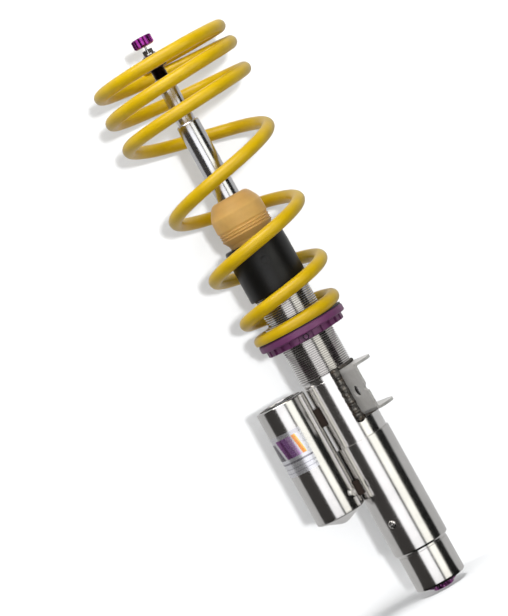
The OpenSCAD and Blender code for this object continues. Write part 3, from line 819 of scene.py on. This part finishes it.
def piston_rod():
    """Ground and chromed rod, shoulder, pin, threaded end and the small hexagon at the tip."""
    neck = place("topout_bumper").low
    stem, thin = 2.08, 1.13
    root = ROD_THREAD_R - 0.75
    outline = eased([
        (stem, ROD.low, 0), (6, ROD.low, 0.3), (6, neck, 0), (ROD_R, neck, 0.3),
        (ROD_R, SHOULDER - 1.2, 0.3), (ROD_R - 0.9, SHOULDER, 0.3), (PIN_R, SHOULDER, 0.1),
        (PIN_R, PIN_TOP - 0.4, 0.3), (root, ROD_THREAD_LOW + 0.6, 0.1), (root, HEX_LOW, 0),
        (thin, HEX_LOW, 0), (thin, STEM_STEP, 0), (stem, STEM_STEP, 0)])
    tip = eased([(thin, HEX_LOW - 0.2, 0), (5.5, HEX_LOW - 0.2, 0), (5.5, ROD.high - 0.5, 0.1),
                 (4.7, ROD.high, 0.1), (thin, ROD.high, 0.1)])
    hexagon = six_flats(9.7 / 2, thin + 0.5)
    shells = [turned(outline), turned(tip, steps=144, reach=hexagon)]
    length = HEX_LOW - ROD_THREAD_LOW - 1.6
    tree = thread_tree("rod thread", FINISHES["rod_chrome"], **{
        "Steps": 72, "Turns": length / ROD_THREAD_PITCH, "Root radius": root * MM,
        "Length": length * MM, "Depth": 0.74 * MM})
    ridge = tree.grow("rod_thread", seed_object("rod_thread_seed"))
    ridge.transform(Matrix.Translation((0, 0, (ROD_THREAD_LOW + 0.9) * MM)))
    mesh = join_shells("rod_mesh", [as_mesh("rod_core", shells), ridge])
    from_mesh("rod_shaft", mesh, FINISHES["rod_chrome"], "piston_rod", crease=30)


def rod_locknut():
    """Hexagon with chamfered corners over a thin washer face, and its round locking collar."""
    low, high = NUT.low, NUT.high
    bore = ROD_THREAD_R + 0.05
    body = [(bore, low + 1, 0), (9.9, low + 1, 0), (11.4, low + 1.7, 0.1), (12.2, low + 2.2, 0.2),
            (12.2, high - 4.8, 0.2), (11.0, high - 3.9, 0.2), (10.0, high - 3.5, 0.1),
            (bore, high - 3.5, 0)]
    washer = [(bore, low, 0.1), (10.2, low, 0.2), (10.2, low + 1.2, 0), (bore, low + 1.2, 0)]
    collar = [(bore, high - 3.7, 0), (8.6, high - 3.7, 0), (8.6, high - 0.6, 0.4),
              (8.0, high, 0.3), (bore + 0.4, high, 0.2), (bore, high - 0.4, 0.1)]
    shells = [turned(eased(body), steps=144, reach=six_flats(10.5, 9)),
              turned(eased(washer), steps=ROUGH), turned(eased(collar), steps=ROUGH)]
    piece("lock_nut", shells, FINISHES["black_steel"], "rod_locknut", crease=30)


# ---- bump stop and sleeve ----

def bump_stop():
    """Foam stop: a foot inside the sleeve, a neck through its lid, three fine ribs and a crown."""
    bore, foot, top = 11.35, FOAM.low, FOAM.high
    grip = 25.35
    lid = SLEEVE.high - 3
    neck, shoulder = 20.8, 355
    foot_points = [
        (bore, foot, 0.5), (grip, foot, 0.8), (grip, lid, 0.2), (neck, lid, 0.1),
        (neck, SLEEVE.high, 0.1), (21.4, 357.6, 1.0), (24.4, 362.4, 0.6)]
    ribs = []
    for crest, valley in ((363.4, 24.1), (366.2, 24.1), (369.0, 24.2)):
        ribs += [(25.2, crest, 0.3), (24.3, crest + 0.8, 0.2), (valley, crest + 1.8, 0.2)]
    crown = [
        (25.4, 372.2, 0.4), (25.3, 384.0, 0.8), (23.6, 388.4, 0.9), (19.6, 395.0, 0.9),
        (17.4, 397.2, 0.8), (14.6, top, 0.5), (bore, top, 0.6)]
    outline = eased(foot_points + ribs + crown, arc=4)

    def uneven(angle, radius, height):
        if radius < 12 or height < shoulder:
            return radius
        p = Vector((math.cos(angle) * 1.4, math.sin(angle) * 1.4, height * 0.09))
        return radius + 0.22 * noise.noise(p) + 0.07 * noise.noise(p * 4)
    stop = piece("foam_stop", [turned(outline, steps=160, reach=uneven)], FINISHES["foam"],
                 "bump_stop", crease=60)


def dust_sleeve():
    """Moulded sleeve: soft rims, a lid with a hole for the stop's neck and one round dimple."""
    r, low, high = SLEEVE.r, SLEEVE.low, SLEEVE.high
    bore, neck, lid = 26.35, 20.8, SLEEVE.high - 3
    wall = [(r, low + 1.5 + (high - 14 - low - 1.5) * k / 40, 0) for k in range(41)]
    outline = eased([(bore, low + 0.6, 0.3), (bore + 0.6, low, 0.4), (r - 0.5, low, 0.6)] + wall
                    + [(r - 0.3, high - 6, 0), (r - 0.8, high - 1.2, 0.8), (r - 1.9, high, 0.5),
                       (neck, high, 0.3), (neck, lid, 0.2), (bore, lid, 0.4)])
    spot, spot_z, spot_r, spot_edge, spot_deep = math.radians(-90 + 2), 333, 3.9, 0.8, 0.55

    def dimpled(angle, radius, height):
        if radius < r - 0.5:
            return radius
        across = (angle - spot + math.pi) % FULL - math.pi
        away = math.hypot(across * r, height - spot_z)
        edge = min(max((spot_r - away) / spot_edge, 0.0), 1.0)
        return radius - spot_deep * edge * edge * (3 - 2 * edge)
    piece("dust_boot", [turned(outline, steps=288, reach=dimpled)], FINISHES["sleeve_plastic"],
          "dust_sleeve", crease=40)


# ---- spring and perch ----

COIL_START = 268.6
COIL_LEAD_IN = 0.15
COIL_TURNS = 6.8
# pitch of the spring, in mm a turn, at places counted in turns from its lower end
PITCH_AT = [(0, 2), (1, 38), (2, 57), (3.9, 84.5), (4.1, 28), (5.75, 26), (6.4, 6), (6.8, 3)]
# radius of the wire's centre line at places along the spring
COIL_RADIUS_AT = [(0, 38.4), (0.5, 39.2), (4.25, 64.4), (5.25, 65.2), (6.8, 61.2)]
WIRE_R = 6.1
COIL_STEPS = 72
SPRING_LEAN = 0.021   # sideways per mm of height, as the free spring stands


def along(stations, spot):
    """The value at spot in a list of (spot, value), straight between them."""
    for (a, low), (b, high) in zip(stations, stations[1:]):
        if spot <= b:
            return low + (high - low) * max(spot - a, 0) / (b - a)
    return stations[-1][1]


def coil_height(turn):
    """Height of the wire's centre line, the sum of the pitch up to turn."""
    rise = 0
    for (a, low), (b, high) in zip(PITCH_AT, PITCH_AT[1:]):
        part = min(turn, b) - a
        if part > 0:
            rise += low * part + (high - low) * part * part / (2 * (b - a))
    return COIL_START + rise


def coil_spring():
    """Powder-coated wire wound on a cone, its lower end ground flat where it sits."""
    count = round((COIL_TURNS + COIL_LEAD_IN) * COIL_STEPS)
    points = []
    for i in range(count + 1):
        turn = -COIL_LEAD_IN + (COIL_TURNS + COIL_LEAD_IN) * i / count
        angle = math.pi + FULL * turn
        r = along(COIL_RADIUS_AT, max(turn, 0))
        lean = SPRING_LEAN * (coil_height(turn) - COIL_START)
        points.append((r * math.cos(angle) + lean, r * math.sin(angle), coil_height(turn)))
    thickness = [1.0] * len(points)
    end = Vector(points[-1])
    onward = (end - Vector(points[-2])).normalized()
    points[-1] = tuple(end - onward * 0.6)
    for reach, size in ((-0.15, 0.96), (0.0, 0.88)):
        points.append(tuple(end + onward * reach))
        thickness.append(size)
    tree = sweep_tree("coil wire", FINISHES["spring_paint"], **{
        "Sides": 32, "Wire radius": WIRE_R * MM})
    mesh = tree.grow("coil_wire", path_object("coil_path", points, thickness))
    bm = bmesh.new()
    bm.from_mesh(mesh)
    cut = bmesh.ops.bisect_plane(bm, geom=bm.verts[:] + bm.edges[:] + bm.faces[:], dist=1e-7,
                                 plane_co=(0, 0, SLIP.high * MM), plane_no=(0, 0, 1),
                                 clear_inner=True)
    rim = [e for e in cut["geom_cut"] if isinstance(e, bmesh.types.BMEdge)]
    bmesh.ops.holes_fill(bm, edges=rim, sides=0)
    bmesh.ops.remove_doubles(bm, verts=bm.verts, dist=1e-6)
    bmesh.ops.recalc_face_normals(bm, faces=bm.faces)
    bm.to_mesh(mesh)
    bm.free()
    from_mesh("coil_wire", mesh, FINISHES["spring_paint"], "coil_spring", crease=50)


def perch_collar():
    """Plastic spring plate: a wide flange over a ring of spanner notches."""
    flange_r, ring_r, bore, floor = COLLAR.r, 38.5, INSERT.r, 36.1
    low, high, flange = COLLAR.low, COLLAR.high, 258
    notches, half, lip = 24, 2.0, 0.004
    step = FULL / notches
    offset = -math.pi / 2 + step / 2
    columns = []
    for k in range(notches):
        middle = offset + k * step
        edge = math.asin(half / ring_r)
        columns += [middle - edge - lip, middle - edge, middle - edge * 0.4, middle + edge * 0.4,
                    middle + edge, middle + edge + lip]
        gap_start, gap = middle + edge + lip, step - 2 * edge - 2 * lip
        columns += [gap_start + gap * (n + 1) / 4 for n in range(3)]
    outline = eased([
        (bore, low, 0.2), (ring_r - 0.5, low, 0.2), (ring_r, low + 0.6, 0.2), (ring_r, flange, 0),
        (flange_r - 0.9, flange, 0.2), (flange_r, flange + 0.8, 0.5), (flange_r, high - 1.2, 0.6),
        (flange_r - 1.2, high, 0.4), (bore, high, 0.1)])

    def notched(angle, radius, height):
        if height > flange + 1e-6 or radius < floor or radius > ring_r + 1e-6:
            return radius
        off = (angle - offset + step / 2) % step - step / 2
        return floor if abs(off) < math.asin(half / ring_r) + 1e-6 else radius
    piece("spring_plate", [turned(outline, columns=columns, reach=notched)],
          FINISHES["collar_plastic"], "perch_collar", crease=30)


def collar_insert():
    """Steel bush in the spring plate, chamfered at its mouth; its internal thread is not drawn, the bore
    is plain.
    """
    bore = 26.08
    low, high, r = INSERT.low, INSERT.high, INSERT.r
    outline = eased([
        (bore, low, 0.2), (r, low, 0.3), (r, high - 1, 0.6), (r - 1, high, 0.4),
        (bore + 0.6, high, 0.3), (bore, high - 0.6, 0.3)])
    piece("threaded_bush", [turned(outline)], FINISHES["polished_steel"], "collar_insert")


def lock_screw():
    """Screw with a six-lobed socket, its rim just proud of the notched ring."""
    lobes = bitten(6, 1.9, 0.55, math.radians(30))

    def socket(angle, radius, height):
        return lobes(angle, radius, height) if 1.2 < radius < 1.9 and height > 6 else radius
    outline = eased([(0, 0, 0), (2.6, 0, 0.3), (2.9, 0.5, 0.2), (2.9, 8.2, 0.3), (2.2, 8.6, 0.3),
                     (1.65, 8.3, 0.1), (1.65, 6.2, 0.1), (0, 5.8, 0)])
    mesh = as_mesh("lock_screw_mesh", [turned(outline, steps=96)])
    seat = Matrix.Translation((0, -30.9 * MM, LOCK_Z * MM))
    mesh.transform(seat @ Matrix.Rotation(math.pi / 2, 4, "X"))
    from_mesh("lock_screw", mesh, FINISHES["grub_face"], "collar_lock_screw", crease=35)


def build_pieces():
    dress_cad_nodes()
    lower_housing()
    threaded_tube()
    locating_weld()
    bracket_weld()
    reservoir()
    label_band()
    rebound_knob()
    compression_knob()
    piston_rod()
    rod_locknut()
    bump_stop()
    dust_sleeve()
    coil_spring()
    perch_collar()
    collar_insert()
    lock_screw()


# ---- stage, light and camera, in metres ----

WALL_Y = 0.092
COVE_R = 0.045
STAGE_REACH = 4.0
FOOT_Y = -0.01     # where the wall's own strip of floor starts, just in front of the foot
GLOW = 0.30        # what the stage gives off by itself, so its shadows stay a mid grey
MIRRORED = 0.62    # how bright the stage is in the polished parts
RETURNED = 0.35    # how much light it sends back on to dull parts
PANEL_LOW = -0.45
PANEL_HIGH = 1.25
MIDDLE = (0, 0, 0.3)       # the point on the strut that the lights face
CAMERA_AT = (0, -2.795, 0.413)
CAMERA_AIM = (-0.0287, 0, 0.2987)
CAMERA_ROLL = -29.1


def stage_finish():
    """Pale backdrop, clear from behind so that a view from the back isn't shut out."""
    material = bpy.data.materials.new("pale stage")
    material.use_nodes = True
    tree = material.node_tree
    tree.nodes.clear()

    def glow(strength):
        return add_node(tree, "ShaderNodeEmission", {
            "Color": (1, 1, 1, 1), "Strength": strength}).outputs[0]

    def pick(amount, first, second):
        return add_node(tree, "ShaderNodeMixShader", {0: amount, 1: first, 2: second}).outputs[0]
    matt = add_node(tree, "ShaderNodeBsdfDiffuse", {"Color": (0.42, 0.425, 0.43, 1)})
    sheet = add_node(tree, "ShaderNodeAddShader", {0: matt.outputs[0], 1: glow(GLOW)})
    clear = add_node(tree, "ShaderNodeBsdfTransparent")
    ray = add_node(tree, "ShaderNodeLightPath").outputs
    behind = add_node(tree, "ShaderNodeNewGeometry").outputs["Backfacing"]
    lit = pick(ray["Is Diffuse Ray"], sheet.outputs[0], glow(RETURNED))
    front = pick(ray["Is Glossy Ray"], lit, glow(MIRRORED))
    add_node(tree, "ShaderNodeOutputMaterial", {"Surface": pick(behind, front, clear.outputs[0])})
    return material


def stage_piece(name, rows, finish):
    """A sheet through rows of (y, z), wide in x, facing the front and up."""
    verts = [(x, y, z) for y, z in rows for x in (-STAGE_REACH, STAGE_REACH)]
    faces = [(2 * i, 2 * i + 1, 2 * i + 3, 2 * i + 2) for i in range(len(rows) - 1)]
    mesh = bpy.data.meshes.new(name)
    mesh.from_pydata(verts, [], faces)
    mesh.polygons.foreach_set("use_smooth", [True] * len(faces))
    mesh.materials.append(finish)
    obj = bpy.data.objects.new(name, mesh)
    bpy.context.scene.collection.objects.link(obj)
    obj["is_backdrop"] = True
    return obj


def build_stage():
    """A wall with its cove and a strip of floor, and the floor before and behind it."""
    floor_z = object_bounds()[0].z
    finish = stage_finish()
    cove = [(WALL_Y - COVE_R + COVE_R * math.sin(a), floor_z + COVE_R - COVE_R * math.cos(a))
            for a in (math.pi / 2 * k / 12 for k in range(13))]
    upright = [(FOOT_Y, floor_z), *cove, (WALL_Y, STAGE_REACH)]
    wall = stage_piece("stage_wall", upright, finish)
    floor = stage_piece("stage_floor", [(-STAGE_REACH, floor_z), (FOOT_Y, floor_z)], finish)
    behind = [(WALL_Y - COVE_R, floor_z), (STAGE_REACH, floor_z)]
    back = stage_piece("stage_back_floor", behind, finish)
    for obj in (floor, back):
        obj.visible_glossy = False
    wall.visible_shadow = False
    return wall, floor, back


def only_on(light, name, objects, include=True):
    """Lets a light reach only these objects, or with include off everything but them."""
    group = bpy.data.collections.new(name)
    for obj in objects:
        group.objects.link(obj)
    light.light_linking.receiver_collection = group
    for entry in group.collection_objects:
        entry.light_linking.link_state = "INCLUDE" if include else "EXCLUDE"


def add_light(name, kind, location, target, **settings):
    data = bpy.data.lights.new(name, kind)
    for key, value in settings.items():
        setattr(data, key, value)
    obj = bpy.data.objects.new(name, data)
    obj.location = location
    obj.rotation_euler = (Vector(target) - Vector(location)).to_track_quat("-Z", "Y").to_euler()
    obj.visible_camera = False
    bpy.context.scene.collection.objects.link(obj)
    return obj


def softbox(name, start, stop, radiance, colour, stage, reach=1.4):
    """An upright panel that the strut sees from azimuth start to stop, in degrees from the front."""
    middle, half = math.radians((start + stop) / 2), math.radians((stop - start) / 2)
    width, height = 2 * reach * math.tan(half), PANEL_HIGH - PANEL_LOW
    level = (PANEL_LOW + PANEL_HIGH) / 2
    spot = (reach * math.sin(middle), -reach * math.cos(middle), level)
    light = add_light(name, "AREA", spot, (0, 0, level), shape="RECTANGLE", size=width,
                      size_y=height, color=colour, energy=radiance * math.pi * width * height)
    only_on(light, name + " reach", stage, include=False)


def build_lights(stage):
    """Panels and boxes that light the strut alone, and suns that light the stage alone."""
    wall, floor, back = stage
    softbox("cool box", -28, 12, 1.6, (0.975, 0.975, 1.0), stage)
    softbox("cream box", 20.5, 51.5, 1.6, (1.0, 1.0, 0.94), stage)
    softbox("dim side", -98, -30, 0.045, (1.0, 0.92, 0.88), stage)
    top = add_light("top box", "AREA", (-0.15, -0.75, 1.75), MIDDLE, shape="RECTANGLE",
                    size=1.5, size_y=1.0, energy=26, color=(1, 0.99, 0.97))
    only_on(top, "top reach", stage, include=False)
    rear = add_light("rear box", "AREA", (0.5, 1.6, 1.0), MIDDLE, shape="RECTANGLE",
                     size=1.2, size_y=1.6, energy=25)
    only_on(rear, "rear reach", stage, include=False)
    drop = add_light("drop shadow sun", "SUN", (0.8, -6, 0.55), MIDDLE, energy=3.3,
                     angle=math.radians(3.2))
    only_on(drop, "drop reach", [wall])
    haze = add_light("wide sun", "SUN", (0.5, -4, 1.0), MIDDLE, energy=1.35,
                     angle=math.radians(35))
    only_on(haze, "haze reach", [wall])
    noon = add_light("floor sun", "SUN", (0.4, -0.8, 4), (0, 0, 0), energy=5.5,
                     angle=math.radians(30))
    only_on(noon, "floor reach", [wall, floor, back])


def build_world():
    """White to the camera, a dim grey room to everything else."""
    world = bpy.data.worlds.new("studio")
    bpy.context.scene.world = world
    world.use_nodes = True
    tree = world.node_tree
    room = tree.nodes["Background"]
    room.inputs["Color"].default_value = (0.80, 0.78, 0.76, 1)
    room.inputs["Strength"].default_value = 0.014
    white = add_node(tree, "ShaderNodeBackground", {"Color": (1, 1, 1, 1), "Strength": 1.0})
    ray = add_node(tree, "ShaderNodeLightPath")
    pick = add_node(tree, "ShaderNodeMixShader", {
        0: ray.outputs["Is Camera Ray"], 1: room.outputs[0], 2: white.outputs[0]})
    tree.links.new(pick.outputs[0], tree.nodes["World Output"].inputs["Surface"])


def build_camera():
    """Long lens in front of the strut, rolled so that the strut leans to the upper left."""
    data = bpy.data.cameras.new("camera")
    data.lens = 180
    data.clip_end = 50
    camera = bpy.data.objects.new("camera", data)
    bpy.context.scene.collection.objects.link(camera)
    look = (Vector(CAMERA_AIM) - Vector(CAMERA_AT)).to_track_quat("-Z", "Y")
    roll = Matrix.Rotation(math.radians(CAMERA_ROLL), 4, "Z").to_quaternion()
    camera.rotation_mode = "QUATERNION"
    camera.location = CAMERA_AT
    camera.rotation_quaternion = look @ roll
    bpy.context.scene.camera = camera
    bpy.context.scene.view_settings.view_transform = "Standard"


build_pieces()
build_world()
build_lights(build_stage())
build_camera()
